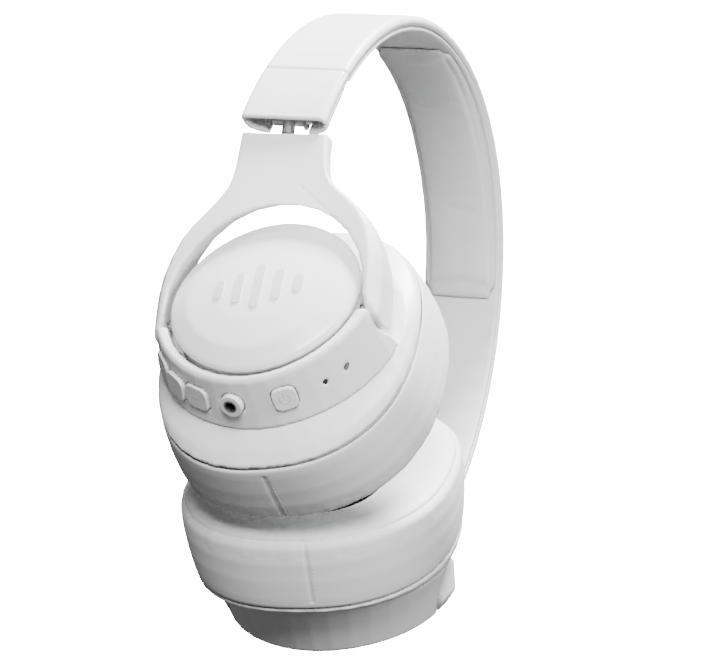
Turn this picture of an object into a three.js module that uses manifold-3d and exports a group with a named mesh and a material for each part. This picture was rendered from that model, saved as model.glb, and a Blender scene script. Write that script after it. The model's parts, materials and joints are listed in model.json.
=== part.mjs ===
// Over-ear headphones with a sprung headband, two sliding, folding and swivelling arms,
// two yokes and two tilting ear cups. Millimetres, +X to the wearer's right, +Y forward, +Z up.
import * as THREE from "three";
import { mergeVertices } from "three/addons/utils/BufferGeometryUtils.js";
import Module from "manifold-3d";

const wasm = await Module();
wasm.setup();

// ---- Driving dimensions (mm, degrees) ----
const CLEARANCE = 0.3;

// Headband: a top arc and two side arcs, measured along its outer face from the crown.
const CROWN_HEIGHT = 164.2; // above the ear cups' centre line
const TOP_RADIUS = 81.6;
const TOP_ARC_LENGTH = 35.6;
const SIDE_RADIUS = 91.15;
const SEAM_AT = 143.4; // where the sliding arm starts
const ARM_END_AT = 164.6;
const BAND_HALF_WIDTH = 13.6;
const BAND_THICKNESS = 5.0;
const COVER_WALL = 1.8;
const COVER_SKIRT = 3.3; // how far the cover's lips reach inward
const COVER_LIP = 1.4;
const COVER_CHAMFER = 1.1;
const BASE_RIM = 1.7; // the base's shoulder, under the cover's lip
const LEAD_GROOVE_HALF_WIDTH = 4.6;
const CUSHION_HALF_LENGTH = 57;
const CUSHION_HALF_WIDTH = 12.2;
const CUSHION_CROWN = 7.5;
const CUSHION_END = 3.6;
const CUSHION_TAPER = 1.6; // lost from the half width at each end
const CUSHION_TAPER_SHARE = 0.07; // of the half length
const ARM_BULGE = 8.4;
const ARM_BULGE_RUN = 9; // how far the bulge takes to grow
const ARM_COVER_WALL = 1.6;
const ARM_COVER_SKIRT = 2.6;
const ARM_LINER_TOP = 2.9;
const ARM_LINER_WALL = 1.4;
const ARM_SLOT_AT = 156.5; // the liner is open from here, for the yoke to fold into
const ARM_SLOT_HALF_WIDTH = 6;

// Flat strips inside the band and the arm, along the band's outer face.
const SPRING = { halfWidth: 4, depth: 2.3, thickness: 0.7, from: -100, to: 100 };
const LEAD = { halfWidth: 1.5, depth: 3.3, thickness: 0.3, from: -108, to: 108 };
const SLIDER = { halfWidth: 4, depth: 2.2, thickness: 0.8, from: 112, to: 158 };
const BRACKET_FOOT = { halfWidth: 6.4, depth: 3.3, thickness: 0.8, from: 148, to: 157 };
const DETENT = { halfWidth: 1.2, depth: 3.25, thickness: 0.2, from: 122, to: 134, wave: 0.35 };

// Fold hinge.
const HINGE_AT = 161.3;
const HINGE_DEPTH = 4.9;
const HINGE_RADIUS = 1.0;
const HINGE_PIN_HALF_LENGTH = 7.6;
const KNUCKLE_RADIUS = 1.9;
const KNUCKLE_HALF_LENGTH = 4.7;
const RUNNING = 0.1; // clearance round a turning pin
const BRACKET_EAR = { inside: 5.2, wall: 1.2, from: 156.2, depth: 6.2 };

// Ear cup, in its own frame: x outward along the cup's axis, y forward, z up.
const CUP_SQUARENESS = 1.93;
const PAD_SQUARENESS = 2.32;
const CAP_FACE = 14;
const CAP_RADIUS = [28.8, 27.6];
const CAP_LIFT = 0.7;
const SHELL_TOP_RADIUS = [33.2, 31.5];
const SHELL_TOP_LIFT = 1.2;
const SHELL_FOOT = -2.5;
const SHELL_FOOT_RADIUS = [37.4, 33.8];
const SHELL_FOOT_LIFT = -0.9;
const BASE_FOOT = -8.5;
const BASE_FOOT_RADIUS = [39.1, 44];
const PAD_FACE = -30;
const EAR_OPENING = [21, 27];
const HORN_HEIGHT = -7.2; // the control shell's two horns end here
const BASE_WALL = 1.8;
const PAD_SKIRT_DROP = 0.4; // from the base's foot to where the pad's side starts
const PAD_SIDE = [40.3, 43.6];
const PAD_EDGE = [40.4, 42.2];
const BAFFLE_RADIUS = [38.4, 42.6];
const BAFFLE_WALL = 1.4;
const PAD_RING_RADIUS = [38.2, 42.4];
const PAD_RING_OPENING = [24, 30];
const DRIVER_RADIUS = 20;
const MAGNET_RADIUS = 12;
const DIAPHRAGM_RADIUS = 16.5;
const BAFFLE_BORE = 17;

// Controls on the cups' sides: [degrees round from the front edge, x], then half sizes
// [around, along] and corner radii.
const POWER_PLACE = [-74, 6.1];
const KEY_PLACES = { volume_down: [-121.5, 5.6], function: [-136.5, 5.3], volume_up: [-151.5, 5.6] };
const AUX_PLACE = [-101, 6.2];
const MIC_PLACE = [-54, 5.6];
const LED_PLACE = [-42, 5.9];
const LED_TURN = 35;
const USB_PLACE = [-153, 4.5];
const BUTTON = [3.5, 3.5];
const BUTTON_CORNER = 2.2;
const BUTTON_PROUD = 0.6;
const KEY = [4.2, 3.7];
const KEY_CORNER = 2.2;
const KEY_PROUD = 0.5;
const FUNCTION_KEY_PROUD = 0.9;
const KEY_DEPTH = 2.2;
const SOCKET_RADIUS = 3.4;
const SOCKET_BORE = 1.4;
const SOCKET_PROUD = 1.3;
const MIC_RADIUS = 0.5;
const LED = [0.9, 0.3];
const LED_CORNER = 0.28;
const USB_OUTSIDE = [5.0, 2.2];
const USB_OUTSIDE_CORNER = 2.1;
const USB_MOUTH = [4.2, 1.4];
const USB_MOUTH_CORNER = 1.3;
const SOCKET_DEPTH = 2.6;
const BORE_DEPTH = 1.9;
const BOARD = { low: [4.5, -17, -16], high: [6.1, 17, 17] };
const BATTERY = { low: [3.5, -15, -16], high: [8.5, 15, 16] };

// Yoke, in its own frame: origin on the pivot line, x outward, z up to the hinge.
const PIVOT_IN_CUP = [7, 0, -2];
const YOKE_FRONT = 7.8;
const YOKE_HEIGHT = 58.1;
const YOKE_BULGE = 2;
const YOKE_SWAY = 1; // the arch sits a little forward of the neck
const YOKE_GAP = 2.7; // between the yoke's top and the arm's end
const NECK_HALF_WIDTH = 14;
const ARCH_HALF_WIDTH = 30;
const ARCH_SPRING = 1;
const ARCH_RISE = 31;
const ARCH_FLARE = 3; // the arch opens towards its back
const YOKE_ARM_DEPTH = 15;
const YOKE_NECK_DEPTH = 4.6;
const FOOT_RADIUS = 7.4;
const FOOT_ROUNDNESS = 0.8; // the foot's drop over its radius
const FOOT_GAP = 0.9;
const POST_RADIUS = 1.1;
const POST_CLEARANCE = 0.2;
const POST_LENGTH = 7.6;
const PIVOT_PIN_RADIUS = 1.6;
const PIVOT_PIN = [26.7, 32.9]; // its two ends, from the cup's middle

// How the two yokes and cups hang at rest: the yoke leans with the band's end and is raked
// backward, and each cup is tilted back from its yoke.
const YOKE_LEAN = 23.2;
const YOKE_RAKE = 8.9;
const SIDES = {
  right: { mirror: 1, swivel: -1.9, tiltBack: 10.1 },
  left: { mirror: -1, swivel: 2.4, tiltBack: 11.6 },
};

// ---- Colours ----
const FINISH = {
  gloss: { color: 0xf4f5f7, roughness: 0.25, metalness: 0 },
  satin: { color: 0xe9eaec, roughness: 0.45, metalness: 0 },
  soft: { color: 0xd2d4d6, roughness: 0.8, metalness: 0 },
  dark: { color: 0x303236, roughness: 0.6, metalness: 0 },
  steel: { color: 0xb8bcc0, roughness: 0.3, metalness: 1 },
  board: { color: 0x2b5d46, roughness: 0.5, metalness: 0 },
};

const headphones = new THREE.Group();
const radians = THREE.MathUtils.degToRad;
const lerp = THREE.MathUtils.lerp;
const vec = (x, y, z) => new THREE.Vector3(x, y, z);

// ---- Making solids ----

function addPiece(group, name, geometry, finish) {
  const piece = new THREE.Mesh(geometry, new THREE.MeshStandardMaterial(FINISH[finish]));
  piece.name = name;
  group.add(piece);
  return piece;
}

function signedVolume(points, faces) {
  let volume = 0;
  for (const [a, b, c] of faces) {
    volume += points[a].dot(points[b].clone().cross(points[c])) / 6;
  }
  return volume;
}

// A closed body through equal-length rings of points. An open run of rings gets a flat cap
// at each end; a looped run returns to its first ring and needs none.
function loft(rings, { looped = false, capOutline = null } = {}) {
  const count = rings[0].length;
  const points = rings.flat().map((point) => point.clone());
  const faces = [];
  const last = looped ? rings.length : rings.length - 1;
  for (let ring = 0; ring < last; ring += 1) {
    const here = ring * count;
    const next = ((ring + 1) % rings.length) * count;
    for (let i = 0; i < count; i += 1) {
      const j = (i + 1) % count;
      faces.push([here + i, here + j, next + j], [here + i, next + j, next + i]);
    }
  }
  if (!looped) {
    const start = (rings.length - 1) * count;
    const outline = capOutline ?? rings[0].map((_, i) => {
      const angle = (2 * Math.PI * i) / count;
      return new THREE.Vector2(Math.cos(angle), Math.sin(angle));
    });
    const clockwise = THREE.ShapeUtils.isClockWise(outline);
    for (const [a, second, third] of THREE.ShapeUtils.triangulateShape(outline, [])) {
      const turnsRight = THREE.ShapeUtils.isClockWise([outline[a], outline[second], outline[third]]);
      const [b, c] = turnsRight === clockwise ? [second, third] : [third, second];
      faces.push([a, c, b], [start + a, start + b, start + c]);
    }
  }
  if (signedVolume(points, faces) < 0) {
    faces.forEach((face) => face.reverse());
  }
  const geometry = new THREE.BufferGeometry();
  geometry.setAttribute("position", new THREE.Float32BufferAttribute(
    points.flatMap((point) => point.toArray()), 3));
  geometry.setIndex(faces.flat());
  return geometry;
}

function toSolid(geometry) {
  const plain = geometry.clone();
  plain.deleteAttribute("normal");
  plain.deleteAttribute("uv");
  const merged = mergeVertices(plain, 1e-4);
  return new wasm.Manifold(new wasm.Mesh({
    numProp: 3,
    vertProperties: new Float32Array(merged.attributes.position.array),
    triVerts: new Uint32Array(merged.index.array),
  }));
}

function toGeometry(solid) {
  const mesh = solid.getMesh();
  const geometry = new THREE.BufferGeometry();
  geometry.setAttribute("position", new THREE.BufferAttribute(mesh.vertProperties, 3));
  geometry.setIndex(new THREE.BufferAttribute(mesh.triVerts, 1));
  return geometry;
}

function cut(geometry, tools) {
  return toGeometry(tools.reduce(
    (solid, tool) => solid.subtract(toSolid(tool)), toSolid(geometry)));
}

function join(geometries) {
  return toGeometry(geometries.map(toSolid).reduce((whole, piece) => whole.add(piece)));
}

function boxBetween(low, high) {
  const size = high.map((value, axis) => value - low[axis]);
  const centre = high.map((value, axis) => (value + low[axis]) / 2);
  return new THREE.BoxGeometry(...size).translate(...centre);
}

// A cylinder from one point to another.
function rod(from, to, radius, segments = 16) {
  const along = to.clone().sub(from);
  const geometry = new THREE.CylinderGeometry(radius, radius, along.length(), segments);
  const turn = new THREE.Quaternion().setFromUnitVectors(vec(0, 1, 0), along.clone().normalize());
  geometry.applyQuaternion(turn);
  const middle = from.clone().add(to).multiplyScalar(0.5);
  return geometry.translate(middle.x, middle.y, middle.z);
}

// A superellipse ring in the plane x of the cup frame.
function ovalRing(x, [halfY, halfZ], lift, squareness, segments = 36) {
  const power = 2 / squareness;
  return Array.from({ length: segments }, (_, i) => {
    const angle = (2 * Math.PI * i) / segments;
    const cos = Math.cos(angle);
    const sin = Math.sin(angle);
    return vec(
      x,
      halfY * Math.sign(cos) * Math.abs(cos) ** power,
      lift + halfZ * Math.sign(sin) * Math.abs(sin) ** power,
    );
  });
}

const grown = (radius, by) => radius.map((value) => value + by);
const capRing = (x, by) => ovalRing(x, grown(CAP_RADIUS, by), CAP_LIFT, CUP_SQUARENESS);
const padRing = (x, radius) => ovalRing(x, radius, 0, PAD_SQUARENESS);

// ---- Headband ----

// The band's outer curve: its angle from the crown and the point there.
function bandAngle(distance) {
  const along = Math.abs(distance);
  const topArc = Math.min(along, TOP_ARC_LENGTH) / TOP_RADIUS;
  const sideArc = Math.max(along - TOP_ARC_LENGTH, 0) / SIDE_RADIUS;
  return Math.sign(distance) * (topArc + sideArc);
}

function sideArcCentre(side) {
  const joinAngle = TOP_ARC_LENGTH / TOP_RADIUS;
  const gap = TOP_RADIUS - SIDE_RADIUS;
  const topCentre = CROWN_HEIGHT - TOP_RADIUS;
  return vec(side * gap * Math.sin(joinAngle), 0, topCentre + gap * Math.cos(joinAngle));
}

// The point at a distance along the band, a depth inward from its outer face, and across it.
function bandPoint(distance, depth, across) {
  const angle = bandAngle(distance);
  const outward = vec(Math.sin(angle), 0, Math.cos(angle));
  const onTop = Math.abs(distance) <= TOP_ARC_LENGTH;
  const centre = onTop ? vec(0, 0, CROWN_HEIGHT - TOP_RADIUS) : sideArcCentre(Math.sign(distance));
  const radius = onTop ? TOP_RADIUS : SIDE_RADIUS;
  return centre.add(outward.multiplyScalar(radius - depth)).add(vec(0, across, 0));
}

function stations(from, to, steps) {
  return Array.from({ length: steps + 1 }, (_, i) => lerp(from, to, i / steps));
}

// Sweeps a section of [across, depth] points along the band; the section may change on the way.
function sweepBand(section, from, to, steps) {
  const places = stations(from, to, steps);
  const outline = section(from).map(([across, depth]) => new THREE.Vector2(across, depth));
  const rings = places.map((distance) =>
    section(distance).map(([across, depth]) => bandPoint(distance, depth, across)));
  return loft(rings, { capOutline: outline });
}

// Both halves of a section that is the same to the front and to the rear.
function bothHalves(half) {
  const mirrored = half.map(([across, depth]) => [-across, depth]).reverse();
  return [...half, ...mirrored];
}

const rim = BAND_HALF_WIDTH;
const channelSection = (wall, skirt) => () => bothHalves([
  [rim - COVER_LIP, wall], [rim - COVER_LIP, skirt], [rim, skirt],
  [rim, COVER_CHAMFER], [rim - COVER_CHAMFER, 0],
]);
const baseTop = COVER_WALL + CLEARANCE;
const baseRim = COVER_SKIRT + CLEARANCE;
const baseSection = () => bothHalves([
  [LEAD_GROOVE_HALF_WIDTH, LEAD.depth + LEAD.thickness + 0.25], [LEAD_GROOVE_HALF_WIDTH, baseTop],
  [rim - BASE_RIM, baseTop], [rim - BASE_RIM, baseRim], [rim, baseRim],
  [rim, BAND_THICKNESS - 0.7], [rim - 0.7, BAND_THICKNESS],
]);

function sweepStrip({ halfWidth, depth, thickness, from, to }, steps) {
  const section = bothHalves([[halfWidth, depth], [halfWidth, depth + thickness]]);
  return sweepBand(() => section, from, to, steps);
}

function cushionSection(distance) {
  const reach = Math.abs(distance) / CUSHION_HALF_LENGTH;
  const end = Math.max(0, 1 - (1 - reach) / CUSHION_TAPER_SHARE);
  const thick = lerp(CUSHION_CROWN, CUSHION_END, Math.min(1, reach ** 1.5)) * (1 - 0.5 * end);
  const halfWidth = CUSHION_HALF_WIDTH - CUSHION_TAPER * end;
  const foot = BAND_THICKNESS + CLEARANCE;
  return bothHalves([
    [halfWidth, foot], [halfWidth, foot + 0.55 * thick], [0.8 * halfWidth, foot + 0.9 * thick],
    [0.4 * halfWidth, foot + thick],
  ]);
}

function addHeadband() {
  addPiece(headphones, "headband_cover",
    sweepBand(channelSection(COVER_WALL, COVER_SKIRT), -SEAM_AT, SEAM_AT, 32), "satin");
  addPiece(headphones, "headband_base", sweepBand(baseSection, -SEAM_AT, SEAM_AT, 32), "satin");
  addPiece(headphones, "headband_cushion",
    sweepBand(cushionSection, -CUSHION_HALF_LENGTH, CUSHION_HALF_LENGTH, 20), "soft");
  addPiece(headphones, "headband_spring", sweepStrip(SPRING, 20), "steel");
  addPiece(headphones, "headband_lead", sweepStrip(LEAD, 20), "dark");
}

// ---- Sliding arm and fold hinge, built on the right and mirrored for the left ----

const foldLine = (half, radius) => rod(
  bandPoint(HINGE_AT, HINGE_DEPTH, -half), bandPoint(HINGE_AT, HINGE_DEPTH, half), radius, 16);

function bulgeDepth(distance) {
  const grow = Math.min(1, (distance - SEAM_AT) / ARM_BULGE_RUN);
  return lerp(BAND_THICKNESS, ARM_BULGE, grow * grow * (3 - 2 * grow));
}

function armLinerSection(distance) {
  const deep = bulgeDepth(distance);
  const shape = (halfWidth, bottom, steps) => Array.from({ length: steps + 1 }, (_, i) => {
    const angle = (Math.PI / 2) * (i / steps);
    return [halfWidth * Math.cos(angle) ** 0.7,
      lerp(ARM_LINER_TOP, bottom, Math.sin(angle) ** 0.9)];
  });
  const outer = shape(rim, deep, 6);
  const inner = shape(rim - ARM_LINER_WALL, deep - ARM_LINER_WALL, 6);
  const ring = [...outer, ...outer.slice(0, -1).map(([y, n]) => [-y, n]).reverse()];
  const hole = [...inner, ...inner.slice(0, -1).map(([y, n]) => [-y, n]).reverse()];
  return [...ring, ...hole.reverse()];
}

function addSlidingArm(group, side) {
  const start = SEAM_AT + CLEARANCE;
  const slotSection = bothHalves([[ARM_SLOT_HALF_WIDTH, 5.6], [ARM_SLOT_HALF_WIDTH, 10]]);
  const slot = sweepBand(() => slotSection, ARM_SLOT_AT, ARM_END_AT + 2, 3);
  addPiece(group, `${side}_arm_cover`,
    sweepBand(channelSection(ARM_COVER_WALL, ARM_COVER_SKIRT), start, ARM_END_AT, 6), "gloss");
  addPiece(group, `${side}_arm_liner`,
    cut(sweepBand(armLinerSection, start, ARM_END_AT, 8), [slot]), "satin");
  addPiece(group, `${side}_slider_strip`, sweepStrip(SLIDER, 10), "steel");

  const { inside, wall, from, depth } = BRACKET_EAR;
  const top = BRACKET_FOOT.depth;
  const ear = (across) => sweepBand(() => [
    [across, top], [across + wall, top], [across + wall, depth], [across, depth],
  ], from, ARM_END_AT - 0.6, 3);
  const bracket = join([sweepStrip(BRACKET_FOOT, 3), ear(inside), ear(-inside - wall)]);
  addPiece(group, `${side}_hinge_bracket`, cut(bracket, [foldLine(9, HINGE_RADIUS + RUNNING)]), "steel");
  addPiece(group, `${side}_hinge_pin`, foldLine(HINGE_PIN_HALF_LENGTH, HINGE_RADIUS),
    "steel");
  addPiece(group, `${side}_detent_spring`,
    sweepBand((distance) => {
      const share = (distance - DETENT.from) / (DETENT.to - DETENT.from);
      const near = DETENT.depth + 0.25 * DETENT.wave * Math.sin(Math.PI * share) ** 2;
      return bothHalves([[DETENT.halfWidth, near], [DETENT.halfWidth, near + DETENT.thickness]]);
    }, DETENT.from, DETENT.to, 6), "steel");
}

// ---- Yoke ----

function yokeFrontFace(z) {
  const t = THREE.MathUtils.clamp(z / YOKE_HEIGHT, 0, 1);
  return YOKE_FRONT + YOKE_BULGE * Math.sin(Math.PI * t);
}

function yokeDepth(z) {
  const t = THREE.MathUtils.clamp((z - 6) / 32, 0, 1);
  return lerp(YOKE_ARM_DEPTH, YOKE_NECK_DEPTH, t * t * (3 - 2 * t));
}

function yokeSway(z) {
  const t = THREE.MathUtils.clamp(z / YOKE_HEIGHT, 0, 1);
  return YOKE_SWAY * Math.sin(Math.PI * t) ** 2;
}

// Half the outer outline, from the arm's foot up to the neck.
const FOOT_BOTTOM = -FOOT_RADIUS - 1;
const shoulderCurve = new THREE.SplineCurve([
  new THREE.Vector2(33.8, FOOT_BOTTOM), new THREE.Vector2(34.2, 3), new THREE.Vector2(33.3, 14),
  new THREE.Vector2(29.0, 25), new THREE.Vector2(21.8, 33.2), new THREE.Vector2(16.0, 40),
  new THREE.Vector2(14.3, 47), new THREE.Vector2(NECK_HALF_WIDTH, YOKE_HEIGHT),
]);

// One level of the yoke, from 0 on its front face to 1 on its back. The front's outer edge is
// pulled in, and the arch opens towards the back.
function yokeLevel(pulledIn, share, flare) {
  const outerSteps = 14;
  const innerSteps = 14;
  const right = Array.from({ length: outerSteps + 1 }, (_, i) => {
    const wide = shoulderCurve.getPoint(i / outerSteps);
    const neck = THREE.MathUtils.clamp((wide.y - 29) / 14, 0, 1);
    const pull = pulledIn * lerp(2.6, 0.4, neck);
    return [wide.x - pull, wide.y - (i === outerSteps ? 0 : pull * 0.4 * (1 - neck))];
  });
  const left = right.map(([y, z]) => [-y, z]).reverse();
  const arch = Array.from({ length: innerSteps + 1 }, (_, i) => {
    const angle = (Math.PI * i) / innerSteps;
    return [(ARCH_HALF_WIDTH + flare) * Math.cos(angle),
      ARCH_SPRING + (ARCH_RISE + flare) * Math.sin(angle)];
  }).reverse();
  const foot = [ARCH_HALF_WIDTH + flare, right[0][1]];
  const levelled = ([y, z]) => {
    const neck = THREE.MathUtils.clamp((z - 34) / (YOKE_HEIGHT - 34), 0, 1);
    return [y, z - y * neck * Math.tan(radians(YOKE_RAKE))];
  };
  const outline = [...right, ...left, [-foot[0], foot[1]], ...arch, foot].map(levelled);
  const ring = outline.map(([y, z]) =>
    vec(yokeFrontFace(z) - share * yokeDepth(z), y + yokeSway(z), z));
  return { ring, flat: outline.map(([y, z]) => new THREE.Vector2(y, z)) };
}

const pinAcross = (way, inner, outer, radius) =>
  rod(vec(0, way * inner, 0), vec(0, way * outer, 0), radius);
const footShape = (grow) =>
  pinAcross(1, -62, 62, FOOT_RADIUS + grow).scale(1, 1, FOOT_ROUNDNESS);
const NECK_CENTRE = YOKE_FRONT - YOKE_NECK_DEPTH / 2;

function addYoke(yoke, side) {
  const front = yokeLevel(1, 0, 0);
  const middle = yokeLevel(0, 0.25, 0.25 * ARCH_FLARE);
  const back = yokeLevel(0, 1, ARCH_FLARE);
  const body = loft([front.ring, middle.ring, back.ring], { capOutline: front.flat });
  const feet = cut(boxBetween([-30, -60, -30], [30, 60, 0]), [footShape(0)]);
  const bore = rod(vec(NECK_CENTRE, 0, YOKE_HEIGHT - 8), vec(NECK_CENTRE, 0, YOKE_HEIGHT + 2),
    POST_RADIUS + POST_CLEARANCE);
  const sockets = [-1, 1].map((way) => pinAcross(way, 25, PIVOT_PIN[1] + CLEARANCE,
    PIVOT_PIN_RADIUS + CLEARANCE));
  addPiece(yoke, `${side}_yoke`, cut(body, [feet, bore, ...sockets]), "satin");
  addPiece(yoke, `${side}_front_pivot_pin`, pinAcross(1, ...PIVOT_PIN, PIVOT_PIN_RADIUS), "steel");
  addPiece(yoke, `${side}_rear_pivot_pin`, pinAcross(-1, ...PIVOT_PIN, PIVOT_PIN_RADIUS), "steel");
}

// The knuckle round the fold pin, and the post that the yoke swivels on.
const HINGE_IN_YOKE = [NECK_CENTRE, 0, YOKE_HEIGHT + YOKE_GAP + ARM_END_AT - HINGE_AT];

function addHingeBlock(whole, yoke, side) {
  const [x, , z] = HINGE_IN_YOKE;
  const post = rod(vec(x, 0, YOKE_HEIGHT - POST_LENGTH), vec(x, 0, z), POST_RADIUS);
  const collar = rod(vec(x, 0, YOKE_HEIGHT + 0.4), vec(x, 0, z), KNUCKLE_RADIUS);
  yoke.updateMatrix();
  const hanging = [post, collar].map((geometry) => geometry.applyMatrix4(yoke.matrix));
  const knuckle = foldLine(KNUCKLE_HALF_LENGTH, KNUCKLE_RADIUS);
  const block = cut(join([knuckle, ...hanging]), [foldLine(8, HINGE_RADIUS + RUNNING)]);
  addPiece(whole, `${side}_hinge_block`, block, "steel");
}

// ---- Ear cup ----

const shellShare = (x) => (x - SHELL_FOOT) / (CAP_FACE - SHELL_FOOT);

function shellRing(x, inset) {
  const share = shellShare(x);
  const radius = SHELL_FOOT_RADIUS.map((foot, axis) =>
    lerp(foot, SHELL_TOP_RADIUS[axis], share) - inset);
  return ovalRing(x, radius, lerp(SHELL_FOOT_LIFT, SHELL_TOP_LIFT, share), CUP_SQUARENESS);
}

// Place and outward direction on the control shell's side, by angle from the front edge.
function onShell(degrees, x) {
  const point = (angle, at) => {
    const share = shellShare(at);
    const power = 2 / CUP_SQUARENESS;
    const cos = Math.cos(angle);
    const sin = Math.sin(angle);
    const half = SHELL_FOOT_RADIUS.map((foot, axis) => lerp(foot, SHELL_TOP_RADIUS[axis], share));
    const lift = lerp(SHELL_FOOT_LIFT, SHELL_TOP_LIFT, share);
    return vec(at, half[0] * Math.sign(cos) * Math.abs(cos) ** power,
      lift + half[1] * Math.sign(sin) * Math.abs(sin) ** power);
  };
  const angle = radians(degrees);
  const here = point(angle, x);
  const around = point(angle + 0.01, x).sub(point(angle - 0.01, x)).normalize();
  const along = point(angle, x + 0.1).sub(point(angle, x - 0.1)).normalize();
  const outward = along.clone().cross(around).normalize();
  if (outward.dot(vec(0, here.y, here.z)) < 0) {
    outward.negate();
  }
  return { here, around, along, outward };
}

// A rounded-rectangle plug standing on the shell's side, from one depth to another.
function plugOnShell(place, [halfAround, halfAlong], corner, from, to, turn = 0) {
  const { here, around, along, outward } = onShell(...place);
  const shape = new THREE.Shape();
  const [w, h, r] = [halfAround, halfAlong, corner];
  shape.moveTo(w - r, -h);
  shape.absarc(w - r, -h + r, r, -Math.PI / 2, 0, false);
  shape.absarc(w - r, h - r, r, 0, Math.PI / 2, false);
  shape.absarc(-w + r, h - r, r, Math.PI / 2, Math.PI, false);
  shape.absarc(-w + r, -h + r, r, Math.PI, 1.5 * Math.PI, false);
  const geometry = new THREE.ExtrudeGeometry(shape, {
    depth: to - from, bevelEnabled: false, curveSegments: 4,
  });
  geometry.rotateZ(radians(turn));
  const basis = new THREE.Matrix4().makeBasis(around, outward.clone().cross(around), outward);
  geometry.translate(0, 0, from).applyMatrix4(basis);
  return geometry.translate(here.x, here.y, here.z);
}

// A round plug: a rounded square whose corners almost meet.
const discOnShell = (place, radius, from, to) =>
  plugOnShell(place, [radius, radius], radius - 0.01, from, to);

function shellCutters(side) {
  const hole = (place, size, corner, turn = 0) =>
    plugOnShell(place, grown(size, CLEARANCE), corner + CLEARANCE, -6, 3, turn);
  const roundHole = (place, radius) => discOnShell(place, radius + CLEARANCE, -6, 3);
  if (side === "right") {
    return [
      hole(POWER_PLACE, BUTTON, BUTTON_CORNER),
      ...Object.values(KEY_PLACES).map((place) => hole(place, KEY, KEY_CORNER)),
      roundHole(AUX_PLACE, SOCKET_RADIUS),
      roundHole(MIC_PLACE, MIC_RADIUS),
      hole(LED_PLACE, LED, LED_CORNER, LED_TURN),
    ];
  }
  return [hole(USB_PLACE, USB_OUTSIDE, USB_OUTSIDE_CORNER)];
}

function addCupShells(cup, side) {
  const cap = loft([
    capRing(CAP_FACE - 2.6, -0.9), capRing(CAP_FACE - 0.6, 0), capRing(CAP_FACE + 0.6, -0.8),
    capRing(CAP_FACE + 2.0, -6), capRing(CAP_FACE + 2.7, -15), capRing(CAP_FACE + 2.9, -25),
  ]);
  addPiece(cup, `${side}_cap`, cap, "gloss");

  const collar = loft([
    capRing(SHELL_FOOT + CLEARANCE, 1.0), capRing(CAP_FACE - 0.4, 1.0), shellRing(CAP_FACE, 0.7),
    shellRing(CAP_FACE - 0.9, 0), shellRing(6, 0), shellRing(SHELL_FOOT + 0.3, 0),
  ], { looped: true });
  const above = boxBetween([-20, -60, HORN_HEIGHT], [30, 60, 60]);
  const seats = footShape(FOOT_GAP).translate(...PIVOT_IN_CUP);
  addPiece(cup, `${side}_control_shell`, cut(collar, [above, seats, ...shellCutters(side)]), "satin");

  const inside = (x, radius) => padRing(x, grown(radius, -BASE_WALL));
  const base = loft([
    capRing(CAP_FACE - 3.0, -1.0), capRing(SHELL_FOOT, 0.6), shellRing(SHELL_FOOT, 0.4),
    padRing(BASE_FOOT + 3.2, [38.6, 40.2]), padRing(BASE_FOOT + 1.0, [39.2, 43.6]),
    padRing(BASE_FOOT, grown(BASE_FOOT_RADIUS, -0.2)),
    inside(BASE_FOOT, [39.0, 43.0]), inside(BASE_FOOT + 2.6, [38.0, 39.0]),
    capRing(SHELL_FOOT - 1.6, -1.4), capRing(CAP_FACE - 3.0, -2.8),
  ], { looped: true });
  const pivotHoles = pinAcross(1, -40, 40, PIVOT_PIN_RADIUS + CLEARANCE).translate(...PIVOT_IN_CUP);
  addPiece(cup, `${side}_cup_base`, cut(base, [pivotHoles]), "satin");
}

function addCupSound(cup, side) {
  const top = BASE_FOOT - CLEARANCE;
  const disc = (x, radius, segments = 28) => ovalRing(x, [radius, radius], 0, 2, segments);
  const baffle = loft([
    padRing(top, BAFFLE_RADIUS), padRing(top - BAFFLE_WALL, BAFFLE_RADIUS),
    disc(top - BAFFLE_WALL, BAFFLE_BORE, 36), disc(top, BAFFLE_BORE, 36),
  ], { looped: true });
  addPiece(cup, `${side}_baffle`, baffle, "dark");
  addPiece(cup, `${side}_driver`, loft([
    disc(top + 8, MAGNET_RADIUS - 2), disc(top + 2.5, MAGNET_RADIUS),
    disc(top + 1.5, DRIVER_RADIUS), disc(top + CLEARANCE, DRIVER_RADIUS),
  ]), "steel");
  addPiece(cup, `${side}_diaphragm`, loft([
    disc(top - 0.2, DIAPHRAGM_RADIUS), disc(top - 0.6, DIAPHRAGM_RADIUS), disc(top - 1.2, 9),
  ]), "dark");
  addPiece(cup, `${side}_pad_ring`, loft([
    padRing(top - 1.7, PAD_RING_RADIUS), padRing(top - 2.5, PAD_RING_RADIUS),
    padRing(top - 2.5, PAD_RING_OPENING), padRing(top - 1.7, PAD_RING_OPENING),
  ], { looped: true }), "dark");
  addPiece(cup, `${side}_acoustic_cloth`, loft([
    padRing(top - 1.8, grown(PAD_RING_OPENING, -0.4)),
    padRing(top - 2.4, grown(PAD_RING_OPENING, -0.4)),
  ]), "dark");
}

function addEarPad(cup, side) {
  const back = BASE_FOOT - CLEARANCE - 2.8;
  const skirt = BASE_FOOT - PAD_SKIRT_DROP;
  const pad = loft([
    padRing(skirt, grown(BASE_FOOT_RADIUS, 0.1)),
    padRing(lerp(skirt, PAD_FACE, 0.5), PAD_SIDE),
    padRing(PAD_FACE + 3.6, PAD_EDGE), padRing(PAD_FACE + 0.8, grown(PAD_EDGE, -2)),
    padRing(PAD_FACE, [33.5, 37]), padRing(PAD_FACE, [26.5, 32]),
    padRing(PAD_FACE + 1.6, [22.6, 28.6]), padRing(PAD_FACE + 6, EAR_OPENING),
    padRing(back, grown(EAR_OPENING, 1.5)), padRing(back, [38.7, 42.9]),
    padRing(skirt, [38.8, 43.0]),
  ], { looped: true });
  addPiece(cup, `${side}_ear_pad`, pad, "soft");
}

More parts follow.
